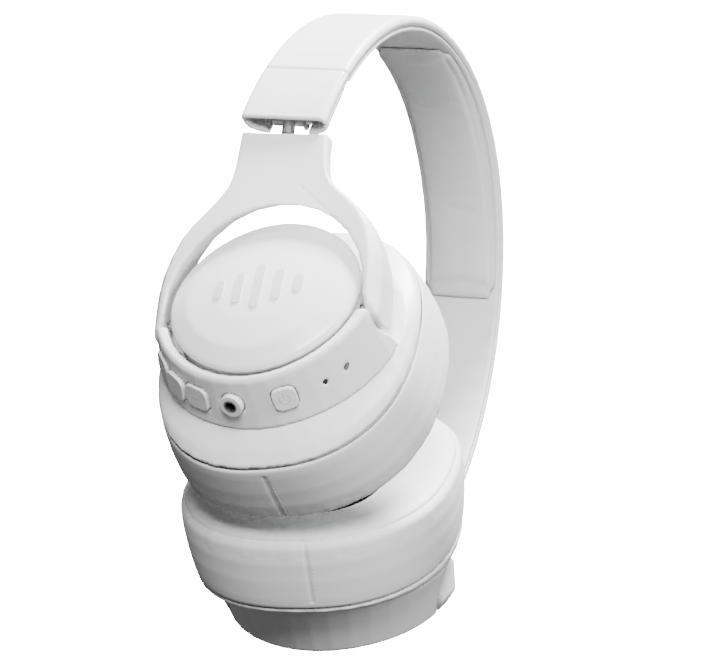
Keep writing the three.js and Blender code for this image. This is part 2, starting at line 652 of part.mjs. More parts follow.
function addRightControls(cup) {
  addPiece(cup, "right_power_button",
    plugOnShell(POWER_PLACE, BUTTON, BUTTON_CORNER, -KEY_DEPTH, BUTTON_PROUD), "satin");
  for (const [use, place] of Object.entries(KEY_PLACES)) {
    const proud = use === "function" ? FUNCTION_KEY_PROUD : KEY_PROUD;
    addPiece(cup, `right_${use}_key`,
      plugOnShell(place, KEY, KEY_CORNER, -KEY_DEPTH, proud), "satin");
  }
  const socket = cut(discOnShell(AUX_PLACE, SOCKET_RADIUS, -SOCKET_DEPTH, SOCKET_PROUD),
    [discOnShell(AUX_PLACE, SOCKET_BORE, -BORE_DEPTH, 3)]);
  addPiece(cup, "right_aux_socket", socket, "satin");
  addPiece(cup, "right_microphone", discOnShell(MIC_PLACE, MIC_RADIUS, -2.4, -0.2), "dark");
  addPiece(cup, "right_led_pipe",
    plugOnShell(LED_PLACE, LED, LED_CORNER, -2.4, 0, LED_TURN), "gloss");
  addPiece(cup, "right_circuit_board", boxBetween(BOARD.low, BOARD.high), "board");
}

function addLeftControls(cup) {
  const port = cut(
    plugOnShell(USB_PLACE, USB_OUTSIDE, USB_OUTSIDE_CORNER, -SOCKET_DEPTH, 0.1),
    [plugOnShell(USB_PLACE, USB_MOUTH, USB_MOUTH_CORNER, -BORE_DEPTH, 3)]);
  addPiece(cup, "left_usb_port", port, "steel");
  addPiece(cup, "left_battery", boxBetween(BATTERY.low, BATTERY.high), "dark");
}

// ---- Putting one side together ----

function addSide(side) {
  const { mirror, swivel, tiltBack } = SIDES[side];
  const whole = new THREE.Group();
  addSlidingArm(whole, side);

  // The yoke hangs from the fold pin, and the cup from the yoke's two pivot pins.
  const yoke = new THREE.Group();
  yoke.rotateOnAxis(vec(0, 1, 0), radians(YOKE_LEAN));
  yoke.rotateOnAxis(vec(1, 0, 0), radians(YOKE_RAKE));
  yoke.rotateOnAxis(vec(0, 0, 1), radians(swivel));
  const hinge = vec(...HINGE_IN_YOKE).applyQuaternion(yoke.quaternion);
  yoke.position.copy(bandPoint(HINGE_AT, HINGE_DEPTH, 0)).sub(hinge);
  addYoke(yoke, side);
  addHingeBlock(whole, yoke, side);
  whole.add(yoke);

  const tilting = new THREE.Group();
  tilting.rotateOnAxis(vec(0, 1, 0), radians(-tiltBack));
  const cup = new THREE.Group();
  cup.position.set(...PIVOT_IN_CUP).negate();
  addCupShells(cup, side);
  addCupSound(cup, side);
  addEarPad(cup, side);
  if (side === "right") {
    addRightControls(cup);
  } else {
    addLeftControls(cup);
  }
  tilting.add(cup);
  yoke.add(tilting);

  whole.updateMatrixWorld(true);
  mirrorInto(headphones, whole, mirror);
}

// Bakes each piece's place into its mesh, turned over for the left side.
function mirrorInto(group, whole, mirror) {
  const flip = new THREE.Matrix4().makeScale(mirror, 1, 1);
  whole.traverse((piece) => {
    if (!piece.isMesh) {
      return;
    }
    const geometry = piece.geometry.clone().applyMatrix4(flip.clone().multiply(piece.matrixWorld));
    if (mirror < 0) {
      geometry.index.array.reverse();
    }
    const copy = new THREE.Mesh(geometry, piece.material);
    copy.name = piece.name;
    group.add(copy);
  });
}

addHeadband();
addSide("right");
addSide("left");

// Stand the headphones on their lowest point, centred over the origin.
const bounds = new THREE.Box3().setFromObject(headphones, true);
headphones.position.set(
  -(bounds.min.x + bounds.max.x) / 2, -(bounds.min.y + bounds.max.y) / 2, -bounds.min.z);

export default headphones;
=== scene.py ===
"""Over-ear headphones: the looks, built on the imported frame.

Metres, +X to the wearer's right, +Y forward, +Z up.
"""

import json
import math

import bmesh
import bpy
import numpy as np
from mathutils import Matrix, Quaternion, Vector
from mathutils.bvhtree import BVHTree

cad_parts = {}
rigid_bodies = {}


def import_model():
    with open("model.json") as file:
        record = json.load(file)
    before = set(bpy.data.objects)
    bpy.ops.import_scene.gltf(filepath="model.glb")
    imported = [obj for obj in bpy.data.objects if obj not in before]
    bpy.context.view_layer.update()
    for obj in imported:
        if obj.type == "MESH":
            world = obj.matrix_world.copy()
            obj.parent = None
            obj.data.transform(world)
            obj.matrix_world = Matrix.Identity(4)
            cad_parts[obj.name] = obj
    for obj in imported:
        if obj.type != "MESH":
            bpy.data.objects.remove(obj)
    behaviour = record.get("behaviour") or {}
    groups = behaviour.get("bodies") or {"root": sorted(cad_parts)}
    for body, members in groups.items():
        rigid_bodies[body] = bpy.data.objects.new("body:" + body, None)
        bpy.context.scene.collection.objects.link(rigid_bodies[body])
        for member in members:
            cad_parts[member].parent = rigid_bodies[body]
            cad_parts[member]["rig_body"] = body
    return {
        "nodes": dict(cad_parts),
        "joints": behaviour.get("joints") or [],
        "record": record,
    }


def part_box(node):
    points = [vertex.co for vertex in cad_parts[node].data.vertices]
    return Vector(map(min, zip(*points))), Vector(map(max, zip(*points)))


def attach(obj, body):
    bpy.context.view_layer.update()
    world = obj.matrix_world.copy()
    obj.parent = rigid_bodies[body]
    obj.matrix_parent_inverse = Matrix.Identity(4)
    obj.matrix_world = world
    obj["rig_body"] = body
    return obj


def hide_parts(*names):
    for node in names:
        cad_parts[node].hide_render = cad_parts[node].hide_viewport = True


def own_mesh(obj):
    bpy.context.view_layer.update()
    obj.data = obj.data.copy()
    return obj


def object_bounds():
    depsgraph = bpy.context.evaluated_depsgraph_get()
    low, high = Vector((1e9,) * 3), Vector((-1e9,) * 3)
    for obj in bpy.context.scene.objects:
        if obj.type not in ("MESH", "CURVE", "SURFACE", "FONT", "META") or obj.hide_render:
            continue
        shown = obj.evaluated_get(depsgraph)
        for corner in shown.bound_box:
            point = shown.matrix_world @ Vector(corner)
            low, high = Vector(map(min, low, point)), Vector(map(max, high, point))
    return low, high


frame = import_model()
CAD_LOW, CAD_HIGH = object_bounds()
RECORD = frame["record"]
MOUNTS = {m["name"]: m for m in RECORD["mounts"]}
JOINTS = {j["name"]: j for j in frame["joints"]}
SIDES = ("right", "left")
MM = 0.001

# The camera looks up at the right cup from below and in front.
CAMERA_AT = Vector((0.561205, 0.371828, -0.61163))
CAMERA_TURN = Quaternion((0.0833668, 0.6341473, 0.678, 0.3622473))
CAMERA_LENS = 161.807

# Studio light: the soft light all round, and how bright the white backdrop looks.
SOFT_LIGHT = 0.12
BACKDROP_LIGHT = 30.0

# Places and sizes in a cup's own frame, in mm: x outward, y forward, z up, from the cup's middle.
PAD_FACE = -30.0
PAD_MOUNT_FORWARD = 29.8
PAD_BACK = -8.95
PAD_HALF = (40.4, 44.1)
PAD_FRONT = -26.0  # the pad's front runs from here to its face
PAD_SKIRT = -11.8  # behind this the skin is held by the cup
PAD_SKIRT_RUN = 9.0  # how much further along the skin is quite free
CAP_HALF = (28.8, 27.6)
CAP_LIFT = 0.7
CAP_EDGE = 13.6  # where the crown starts
CAP_TOP = 17.5
CAP_CROWN = 2.4
# The socket's rim and hole radii; inside the hole radius the socket is black, as painted shade of the
# hole's depth.
SOCKET_RIM = 2.0
SOCKET_HOLE = 1.5

# A share, not mm: where the pad's side starts in its outline.
PAD_SIDE = 0.8

# The headband cushion: the share of its thickness and width that the look keeps, and its seams.
CUSHION_THICKNESS = 0.7
CUSHION_WIDTH = 1.05
CUSHION_EDGE_SEAM = 1.9
CUSHION_END_SEAM = 2.6

# The cloth simulation.
AIR_STEPS = 20
AIR_PRESSURE = 4


# ---------------------------------------------------------------- frames of reference


class Cup:
    """A cup's own frame, worked out from its ear pad's flat face and its tilt axis."""

    def __init__(self, side):
        face = MOUNTS[side + "_pad_face"]
        hinge = Vector(JOINTS[side + "_tilt"]["axis"])
        self.out = -Vector(face["axis"]).normalized()
        self.forward = (hinge if hinge.y > 0 else -hinge).normalized()
        up = self.out.cross(self.forward)
        self.up = up if up.z > 0 else -up
        place = Vector(face["pos_m"])
        self.middle = place - self.out * PAD_FACE * MM - self.forward * PAD_MOUNT_FORWARD * MM
        self.axes = np.array([self.out, self.forward, self.up])

    def local(self, points):
        """World frame, metres, to cup frame, mm."""
        return (np.asarray(points) - np.array(self.middle)) @ self.axes.T / MM

    def world(self, points):
        """Cup frame, mm, to world frame, metres."""
        return np.asarray(points, float) * MM @ self.axes + np.array(self.middle)


CUPS = {side: Cup(side) for side in SIDES}


# ---------------------------------------------------------------- mesh tools


def points_of(obj):
    flat = np.empty(len(obj.data.vertices) * 3)
    obj.data.vertices.foreach_get("co", flat)
    return flat.reshape(-1, 3)


def set_points(obj, points):
    obj.data.vertices.foreach_set("co", np.asarray(points, np.float32).ravel())
    obj.data.update()


def normals_of(obj):
    flat = np.empty(len(obj.data.vertices) * 3)
    obj.data.vertices.foreach_get("normal", flat)
    return flat.reshape(-1, 3)


def add_object(name, mesh):
    obj = bpy.data.objects.new(name, mesh)
    bpy.context.scene.collection.objects.link(obj)
    return obj


def copy_of(node, name):
    """A new object with the node's mesh, its split corners welded."""
    obj = add_object(name, frame["nodes"][node].data.copy())
    work = bmesh.new()
    work.from_mesh(obj.data)
    bmesh.ops.remove_doubles(work, verts=work.verts, dist=2e-6)
    work.to_mesh(obj.data)
    work.free()
    obj.data.materials.clear()
    return obj


def apply_modifiers(obj):
    graph = bpy.context.evaluated_depsgraph_get()
    mesh = bpy.data.meshes.new_from_object(obj.evaluated_get(graph), depsgraph=graph)
    obj.modifiers.clear()
    old = obj.data
    obj.data = mesh
    bpy.data.meshes.remove(old)


def remesh(obj, voxel):
    change = obj.modifiers.new("remesh", "REMESH")
    change.mode = "VOXEL"
    change.voxel_size = voxel * MM
    apply_modifiers(obj)


def smooth(obj, rounds, factor=0.5):
    change = obj.modifiers.new("smooth", "SMOOTH")
    change.factor, change.iterations = factor, rounds
    apply_modifiers(obj)


def subdivide(obj, levels):
    change = obj.modifiers.new("subdivision", "SUBSURF")
    change.levels = change.render_levels = levels
    apply_modifiers(obj)


def shade_smooth(obj):
    obj.data.polygons.foreach_set("use_smooth", [True] * len(obj.data.polygons))


def finish_piece(obj, node, material):
    """Gives the piece its material and the body of the node that it stands for, and hides that node.
    """
    shade_smooth(obj)
    obj.data.materials.append(material)
    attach(obj, frame["nodes"][node]["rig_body"])
    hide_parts(node)
    return obj


def surface(obj):
    return BVHTree.FromObject(obj, bpy.context.evaluated_depsgraph_get())


# ---------------------------------------------------------------- materials


class Nodes:
    """A short way to write a material's nodes."""

    def __init__(self, name):
        self.material = bpy.data.materials.new(name)
        self.material.use_nodes = True
        self.tree = self.material.node_tree
        self.shader = self.tree.nodes["Principled BSDF"]
        self.place = self.tree.nodes.new("ShaderNodeTexCoord").outputs["Object"]

    def add(self, kind, inputs=None, **settings):
        node = self.tree.nodes.new("ShaderNode" + kind)
        for key, value in settings.items():
            setattr(node, key, value)
        for key, value in (inputs or {}).items():
            if isinstance(value, bpy.types.NodeSocket):
                self.tree.links.new(value, node.inputs[key])
            else:
                node.inputs[key].default_value = value
        return node

    def noise(self, scale, detail=3.0):
        inputs = {"Vector": self.place, "Scale": scale, "Detail": detail}
        return self.add("TexNoise", inputs).outputs["Fac"]

    def cells(self, scale, feature="F1"):
        inputs = {"Vector": self.place, "Scale": scale}
        return self.add("TexVoronoi", inputs, feature=feature).outputs["Distance"]

    def ramp(self, factor, low, high, start=0.3, end=0.7):
        node = self.add("ValToRGB", {"Fac": factor})
        first, last = node.color_ramp.elements
        first.position, last.position = start, end
        first.color, last.color = (*low, 1), (*high, 1)
        return node.outputs["Color"]

    def between(self, factor, low, high):
        inputs = {"Value": factor, "To Min": low, "To Max": high}
        return self.add("MapRange", inputs).outputs["Result"]

    def total(self, first, second, share):
        inputs = {0: second, 1: share, 2: first}
        return self.add("Math", inputs, operation="MULTIPLY_ADD").outputs[0]

    def bump(self, height, depth, strength=1.0):
        inputs = {"Height": height, "Distance": depth * MM, "Strength": strength}
        normal = self.add("Bump", inputs).outputs["Normal"]
        self.tree.links.new(normal, self.shader.inputs["Normal"])

    def link(self, output, socket):
        self.tree.links.new(output, self.shader.inputs[socket])

    def set(self, **values):
        for key, value in values.items():
            self.shader.inputs[key.replace("_", " ")].default_value = value


def grey(value, tint=0.004):
    return (value - tint, value, value + tint)


def plastic(name, tone, rough, grain, coat=0.0):
    """Moulded plastic: cloudy tone, fine spark-eroded grain, and roughness worn a little by hands."""
    n = Nodes(name)
    cloud = n.noise(18, 4)
    n.link(n.ramp(cloud, grey(tone * 0.985), grey(tone)), "Base Color")
    n.link(n.between(n.noise(60, 5), rough * 0.86, rough * 1.14), "Roughness")
    n.bump(n.total(n.noise(2600, 2), n.noise(900, 2), 0.5), grain)
    n.set(Coat_Weight=coat, Coat_Roughness=0.12, IOR=1.49)
    return n.material


def leather(name, tone):
    """Soft protein leather: pebbled grain in cells with fine creases, and a low sheen."""
    n = Nodes(name)
    pebbles = n.cells(1250, "DISTANCE_TO_EDGE")
    fine = n.noise(3200, 3)
    n.link(n.ramp(n.noise(42, 4), grey(tone * 0.97), grey(tone)), "Base Color")
    n.link(n.between(pebbles, 0.62, 0.48), "Roughness")
    n.bump(n.total(pebbles, fine, 0.35), 0.055, 0.8)
    n.set(Sheen_Weight=0.12, Sheen_Roughness=0.5, IOR=1.45)
    return n.material


def thread(name, tone):
    """Twisted sewing thread."""
    n = Nodes(name)
    twist = n.add("TexWave", {"Vector": n.place, "Scale": 900.0, "Distortion": 1.5}).outputs["Fac"]
    n.link(n.ramp(twist, grey(tone * 0.82), grey(tone)), "Base Color")
    n.bump(twist, 0.05)
    n.set(Roughness=0.8)
    return n.material


def cloth(name, tone):
    """Open woven acoustic cloth: two sets of threads crossing."""
    n = Nodes(name)
    across = n.add("TexWave", {"Vector": n.place, "Scale": 420.0}, bands_direction="Y").outputs["Fac"]
    along = n.add("TexWave", {"Vector": n.place, "Scale": 420.0}, bands_direction="Z").outputs["Fac"]
    weave = n.add("Math", {0: across, 1: along}, operation="MAXIMUM").outputs[0]
    n.link(n.ramp(weave, grey(tone * 0.4, 0.001), grey(tone, 0.001)), "Base Color")
    n.bump(weave, 0.1)
    n.set(Roughness=0.9)
    return n.material


def metal(name, tone, rough):
    """Plain steel with fine drawn lines."""
    n = Nodes(name)
    stretch = n.add("Mapping", {"Vector": n.place, "Scale": (3000, 300, 3000)})
    lines = n.add("TexNoise", {"Vector": stretch.outputs["Vector"], "Scale": 1.0}).outputs["Fac"]
    n.link(n.ramp(lines, grey(tone * 0.9), grey(tone)), "Base Color")
    n.link(n.between(lines, rough * 0.8, rough * 1.3), "Roughness")
    n.bump(lines, 0.01)
    n.set(Metallic=1.0)
    return n.material


def board(name):
    """Green solder mask over a faint copper pattern."""
    n = Nodes(name)
    tracks = n.cells(420)
    n.link(n.ramp(tracks, (0.01, 0.06, 0.03), (0.03, 0.16, 0.08)), "Base Color")
    n.bump(tracks, 0.04)
    n.set(Roughness=0.35)
    return n.material


GLOSS = plastic("gloss_white", 0.84, 0.24, 0.004, coat=0.25)
SATIN = plastic("satin_white", 0.80, 0.40, 0.012)
YOKE_WHITE = plastic("yoke_white", 0.76, 0.44, 0.014)
LINER_WHITE = plastic("liner_white", 0.72, 0.50, 0.02)
KEY_WHITE = plastic("key_white", 0.78, 0.34, 0.010)
MARK_GREY = plastic("mark_grey", 0.55, 0.42, 0.008)
# The cap's raised level bars are really the cap's own white; this darker grey is painted shade
# standing in for the shading round their raised edges.
DEVICE_PAINTED_SHADE = plastic("device_painted_shade", 0.62, 0.30, 0.006)
BLACK = plastic("black_moulding", 0.022, 0.45, 0.02)
LIGHT_PIPE = plastic("light_pipe", 0.16, 0.30, 0.006)
PAD_LEATHER = leather("pad_leather", 0.70)
BAND_LEATHER = leather("band_leather", 0.66)
THREAD = thread("thread", 0.60)
ACOUSTIC = cloth("acoustic_weave", 0.03)
STEEL = metal("steel", 0.62, 0.3)
CIRCUIT = board("circuit_board")


# ---------------------------------------------------------------- shells


def shell(node, material, voxel=0.45, rounds=10):
    """A moulded part: the node's shape with its edges softened as a mould leaves them."""
    obj = copy_of(node, node + "_shell")
    remesh(obj, voxel)
    smooth(obj, rounds)
    return finish_piece(obj, node, material)


def add_band():
    shell("headband_cover", SATIN, 0.55, 14)
    shell("headband_base", LINER_WHITE, 0.55, 10)


def add_arm(side):
    shell(side + "_arm_cover", GLOSS, 0.4, 8)
    shell(side + "_arm_liner", LINER_WHITE, 0.45, 6)


def add_cup_shells(side):
    yoke = shell(side + "_yoke", YOKE_WHITE, 0.42, 6)
    turn, tilt = (Vector(JOINTS[side + end]["axis"]).normalized() for end in ("_swivel", "_tilt"))
    fair_faces(yoke, tilt, turn, tilt.cross(turn))
    smooth(yoke, 12)
    shade_smooth(yoke)
    shell(side + "_control_shell", SATIN, 0.4, 7)
    shell(side + "_cup_base", YOKE_WHITE, 0.5, 10)
    return add_cap(side)


def add_cap(side):
    """The glossy cap, crowned a little more than the plain shape so that it shades as a dome."""
    cup = CUPS[side]
    obj = shell(side + "_cap", GLOSS, 0.4, 16)
    local = cup.local(points_of(obj))
    far = np.hypot(local[:, 1] / CAP_HALF[0], (local[:, 2] - CAP_LIFT) / CAP_HALF[1])
    on_top = np.clip((local[:, 0] - CAP_EDGE) / 0.8, 0, 1)
    local[:, 0] += on_top * CAP_CROWN * np.clip(1 - far**2, 0, 1)
    set_points(obj, cup.world(local))
    return obj


def fair_faces(obj, across, up, out, power=4, most=0.9):
    """Moves a plate's two broad faces onto one smooth curve each, which takes out flat facets."""
    points, facing = points_of(obj), normals_of(obj) @ np.array(out)
    y, z, x = (points @ np.array(axis) / MM for axis in (across, up, out))
    scale = max(np.ptp(y), np.ptp(z)) / 2
    u, v = (y - y.mean()) / scale, (z - z.mean()) / scale
    terms = np.stack([u**i * v**j for i in range(power + 1) for j in range(power + 1 - i)], axis=1)
    for sign in (1, -1):
        # Only points that face across the plate are fitted, and those that face it askew move less.
        broad = facing * sign > 0.8
        share = np.clip((facing * sign - 0.6) / 0.3, 0, 1)
        chosen = np.flatnonzero(broad)
        for _ in range(4):
            weights = np.linalg.lstsq(terms[chosen], x[chosen], rcond=None)[0]
            miss = terms @ weights - x
            chosen = np.flatnonzero(broad & (np.abs(miss) < most))
        move = np.where(np.abs(miss) < most, miss, 0) * share
        points += move[:, None] * np.array(out) * MM
    set_points(obj, points)


# ---------------------------------------------------------------- soft parts


def puff(obj, start_in, most, share=1.0):
    """Swells a soft part by cloth simulation with air inside it, keeping each point within most mm.
    The share, one per point, is how much of that the point may take part in."""
    share = np.broadcast_to(share, len(obj.data.vertices))[:, None]
    start = points_of(obj) - normals_of(obj) * start_in * share * MM
    set_points(obj, start)
    change = obj.modifiers.new("cloth", "CLOTH")
    change.settings.quality = 5
    change.settings.mass = 0.1
    change.settings.tension_stiffness = change.settings.compression_stiffness = 20
    change.settings.bending_stiffness = 2
    change.settings.use_pressure = True
    change.settings.uniform_pressure_force = AIR_PRESSURE
    change.settings.effector_weights.gravity = 0
    change.point_cache.frame_start, change.point_cache.frame_end = 1, AIR_STEPS
    for step in range(1, AIR_STEPS + 1):
        bpy.context.scene.frame_set(step)
    apply_modifiers(obj)
    bpy.context.scene.frame_set(1)
    moved = points_of(obj) - start
    length = np.linalg.norm(moved, axis=1, keepdims=True)
    set_points(obj, start + moved * np.minimum(1, most * share * MM / np.maximum(length, 1e-9)))


def groove(distance, width, depth):
    """How far a sewn seam pulls the skin in, in mm, at that distance from it."""
    return depth * np.exp(-((distance / width) ** 2))


def ripple(angle, seed):
    """A fixed, uneven wave round a ring, for gathered leather."""
    waves = ((23, 0.5), (41, 0.3), (67, 0.25), (97, 0.15))
    return sum(size * np.sin(count * angle + seed * count) for count, size in waves)


PAD_SEAM_ANGLE = {"right": -91.0, "left": -82.0}
PAD_SEAM_SHARE = 0.985
PAD_PUCKER_SEED = {"right": 1.7, "left": 2.9}
PAD_REACH = 42  # mm from the pad's middle to its outline, on average
PAD_SEAM_REACH = 44  # the same at the closing seam
PAD_SEAM_END = -11  # where the closing seam stops
PAD_SQUARENESS = 2.32
PUCKER = 0.13
FACE_PUCKER_REACH = 2.5
SIDE_PUCKER_REACH = 3.0

# The stitches beside the closing seam, in mm. Their length and thickness are shares of their radius.
STITCHES = 10
STITCH_START = -16.0
STITCH_SPACING = 1.35
STITCH_TURN = 0.035  # radians from the seam
STITCH_RADIUS = 0.16
STITCH_LIFT = 0.02
STITCH_LENGTH = 2.6
STITCH_THICKNESS = 0.7
CLEAR_OF_PAD = (60, 66)

# The pad's section: distance out along the cup, half width, half height and steps to the next.
PAD_SECTION = (
    (-9.0, 39.2, 44.1, 2),
    (-12.0, 39.8, 44.6, 6),
    (-18.0, 40.8, 45.3, 5),
    (-24.0, 41.3, 45.6, 3),
    (-28.8, 41.2, 45.2, 3),
    (-31.2, 39.9, 43.8, 2),
    (-32.3, 37.4, 41.0, 3),
    (-32.8, 34.0, 37.4, 5),
    (-32.2, 26.0, 29.6, 3),
    (-29.6, 20.0, 24.2, 4),
    (-24.0, 18.4, 23.0, 6),
    (-11.6, 22.5, 28.5, 7),
    (-11.6, 38.6, 42.8, 1),
    (-9.0, 38.7, 42.9, 1),
)


def oval_ring(out, forward, up, around):
    turn = np.arange(around) * 2 * math.pi / around
    power = 2 / PAD_SQUARENESS
    cos, sin = np.cos(turn), np.sin(turn)
    y = forward * np.sign(cos) * np.abs(cos) ** power
    z = up * np.sign(sin) * np.abs(sin) ** power
    return np.stack([np.full(around, out), y, z], axis=1)


def pad_loft(side, around=150):
    """The pad's skin before it is filled, as a closed mesh of rings in the world frame."""
    rings = []
    for here, ahead in zip(PAD_SECTION, PAD_SECTION[1:] + PAD_SECTION[:1]):
        for step in range(here[3]):
            shape = [a + (b - a) * step / here[3] for a, b in zip(here[:3], ahead[:3])]
            rings.append(oval_ring(*shape, around))
    count = len(rings)
    faces = []
    for i in range(count):
        for k in range(around):
            row, after = i * around, (i + 1) % count * around
            beside = (k + 1) % around
            faces.append((row + k, row + beside, after + beside, after + k))
    data = bpy.data.meshes.new(side + "_pad_skin")
    data.from_pydata([tuple(p) for p in CUPS[side].world(np.concatenate(rings))], [], faces)
    work = bmesh.new()
    work.from_mesh(data)
    bmesh.ops.recalc_face_normals(work, faces=work.faces)
    work.to_mesh(data)
    work.free()
    return add_object(side + "_pad_skin", data)


def pad_round(local):
    """A point's angle round the pad and how far out it is, as a share of the pad's outline."""
    forward, up = local[:, 1] / PAD_HALF[0], local[:, 2] / PAD_HALF[1]
    share = (np.abs(forward) ** PAD_SQUARENESS + np.abs(up) ** PAD_SQUARENESS) ** (1 / PAD_SQUARENESS)
    return np.arctan2(up, forward), share


def add_pad(side):
    """An ear pad: a foam ring in soft leather, sewn round its face and closed across its side."""
    cup = CUPS[side]
    obj = pad_loft(side)
    local = cup.local(points_of(obj))
    puff(obj, 0.25, 0.45, np.clip((PAD_SKIRT - local[:, 0]) / PAD_SKIRT_RUN, 0, 1))
    subdivide(obj, 2)
    smooth(obj, 2)
    local = cup.local(points_of(obj))
    angle, share = pad_round(local)
    front, out_here = local[:, 0] < PAD_FRONT, share > PAD_SIDE
    from_seam = (share - PAD_SEAM_SHARE) * PAD_REACH
    depth = groove(from_seam, width=0.5, depth=0.55) * front
    closing = np.radians(PAD_SEAM_ANGLE[side])
    across = (angle - closing) * PAD_SEAM_REACH * share
    on_side = (from_seam > 0) | (local[:, 0] > PAD_FRONT)
    sewn = on_side * (local[:, 0] < PAD_SEAM_END)
    depth += groove(across, width=0.5, depth=0.5) * sewn * out_here
    near_seam = np.exp(-np.abs(from_seam) / FACE_PUCKER_REACH) * front
    near_seam += 0.5 * np.exp(-np.abs(across) / SIDE_PUCKER_REACH) * sewn
    depth += PUCKER * near_seam * ripple(angle, PAD_PUCKER_SEED[side]) * out_here
    local += np.array(cup.local(points_of(obj) - normals_of(obj) * MM) - local) * depth[:, None]
    local[:, 0] = np.minimum(local[:, 0], PAD_BACK)
    set_points(obj, cup.world(local))
    finish_piece(obj, side + "_ear_pad", PAD_LEATHER)
    stitches = add_stitches(side, obj, closing)
    back = Vector(cup.world([[PAD_BACK, 0, 0]])[0])
    for piece in (obj, stitches):
        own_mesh(piece)


def add_stitches(side, pad, closing):
    """A row of short thread stitches beside the pad's closing seam."""
    cup, body = CUPS[side], side + "_cup"
    skin = surface(pad)
    mesh = bmesh.new()
    turn = closing + STITCH_TURN
    for step in range(STITCHES):
        x = STITCH_START - step * STITCH_SPACING
        clear = [x, CLEAR_OF_PAD[0] * math.cos(turn), CLEAR_OF_PAD[1] * math.sin(turn)]
        start, middle = (Vector(p) for p in cup.world([clear, [x, 0, 0]]))
        hit, normal, _, _ = skin.ray_cast(start, (middle - start).normalized())
        if hit is None:
            continue
        rotation = normal.to_track_quat("Z", "Y").to_matrix().to_4x4()
        size = STITCH_RADIUS * MM
        for v in bmesh.ops.create_icosphere(mesh, subdivisions=2, radius=size)["verts"]:
            flat = rotation @ Vector((0, v.co.y, v.co.z * STITCH_THICKNESS))
            along = cup.out * (v.co.x * STITCH_LENGTH)
            v.co = hit + normal * STITCH_LIFT * MM + flat + along
    data = bpy.data.meshes.new(side + "_pad_stitches")
    mesh.to_mesh(data)
    mesh.free()
    obj = add_object(side + "_pad_stitches", data)
    shade_smooth(obj)
    data.materials.append(THREAD)
    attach(obj, body)
    return obj


def add_band_cushion():
    """The pad under the headband: foam in leather, with a sewn channel a little in from its edge."""
    obj = copy_of("headband_cushion", "headband_cushion_skin")
    remesh(obj, 1.3)
    smooth(obj, 2)
    puff(obj, 0.1, 0.3)
    subdivide(obj, 1)
    smooth(obj, 8)
    data = frame["nodes"]["headband_base"].data
    corners = [tuple(face.vertices) for face in data.polygons]
    base = BVHTree.FromPolygons([v.co for v in data.vertices], corners)
    foot = np.array([base.find_nearest(Vector(p))[0] for p in points_of(obj)])
    set_points(obj, foot + (points_of(obj) - foot) * CUSHION_THICKNESS)
    low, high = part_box("headband_cushion")
    points = points_of(obj)
    middle, half = (low.y + high.y) / 2, (high.y - low.y) / 2
    edge = (half - np.abs(points[:, 1] - middle)) / MM
    depth = groove(edge - CUSHION_EDGE_SEAM, width=0.6, depth=0.45)
    ends = np.abs(points[:, 2] - low.z) / MM
    depth = np.maximum(depth, groove(ends - CUSHION_END_SEAM, width=0.7, depth=0.4))
    points -= normals_of(obj) * depth[:, None] * MM
    points[:, 1] = middle + (points[:, 1] - middle) * CUSHION_WIDTH
    set_points(obj, points)
    finish_piece(obj, "headband_cushion", BAND_LEATHER)


# ---------------------------------------------------------------- keys and their marks


def stroke(points, width):
    """A line of any shape with square ends, as pairs of points across it, in mm."""
    path = [np.array(p, float) for p in points]
    pairs = []
    for i, here in enumerate(path):
        ahead = path[min(i + 1, len(path) - 1)] - path[max(i - 1, 0)]
        side = np.array([-ahead[1], ahead[0]]) / np.linalg.norm(ahead) * width / 2
        pairs.append((here - side, here + side))
    return pairs


def capsule(start, end, width, steps=8):
    """A straight stroke with round ends, as pairs of points across it, in mm."""
    start, end = np.array(start, float), np.array(end, float)
    along = (end - start) / np.linalg.norm(end - start)
    side = np.array([-along[1], along[0]])
    pairs = []
    for i in range(steps + 1):
        turn = math.pi / 2 * i / steps
        reach, half = -math.cos(turn) * width / 2, math.sin(turn) * width / 2
        pairs.append((start + along * reach - side * half, start + along * reach + side * half))
    for i in range(1, steps):
        here = start + (end - start) * i / steps
        pairs.append((here - side * width / 2, here + side * width / 2))
    for i in range(steps, -1, -1):
        turn = math.pi / 2 * i / steps
        reach, half = math.cos(turn) * width / 2, math.sin(turn) * width / 2
        pairs.append((end + along * reach - side * half, end + along * reach + side * half))
    return pairs


def arc(radius, start, end, steps=28):
    turns = np.radians(np.linspace(start, end, steps + 1))
    return [(radius * math.cos(t), radius * math.sin(t)) for t in turns]


MARK_REACH = 8  # how far above the surface a mark is laid from
MARK_SINK = 0.05  # how far its foot stands in the surface


def mark(name, shapes, target, centre, across, up, material, body, raised):
    """Thin raised shapes laid on the target's surface. Shapes are pairs across strokes, in mm."""
    skin, out = surface(target), across.cross(up).normalized()
    if (centre - Vector(np.mean([v.co for v in target.data.vertices], axis=0))).dot(out) < 0:
        out = -out
    mesh = bmesh.new()
    for pairs in shapes:
        rows = []
        for pair in pairs:
            row = []
            for u, v in pair:
                start = centre + across * u * MM + up * v * MM + out * MARK_REACH * MM
                hit, _, _, _ = skin.ray_cast(start, -out)
                foot_at = hit if hit is not None else start - out * MARK_REACH * MM
                row.append(foot_at - out * MARK_SINK * MM)
            rows.append(row)
        top = [[mesh.verts.new(p + out * raised * MM) for p in row] for row in rows]
        foot = [[mesh.verts.new(p) for p in row] for row in rows]
        for i in range(len(rows) - 1):
            mesh.faces.new((top[i][0], top[i][1], top[i + 1][1], top[i + 1][0]))
            mesh.faces.new((foot[i][0], foot[i + 1][0], foot[i + 1][1], foot[i][1]))
            for k in (0, 1):
                mesh.faces.new((top[i][k], top[i + 1][k], foot[i + 1][k], foot[i][k]))
        for i in (0, len(rows) - 1):
            mesh.faces.new((top[i][0], top[i][1], foot[i][1], foot[i][0]))
    bmesh.ops.remove_doubles(mesh, verts=mesh.verts, dist=1e-6)
    bmesh.ops.recalc_face_normals(mesh, faces=mesh.faces)
    data = bpy.data.meshes.new(name)
    mesh.to_mesh(data)
    mesh.free()
    obj = add_object(name, data)
    data.materials.append(material)
    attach(obj, body)
    return obj


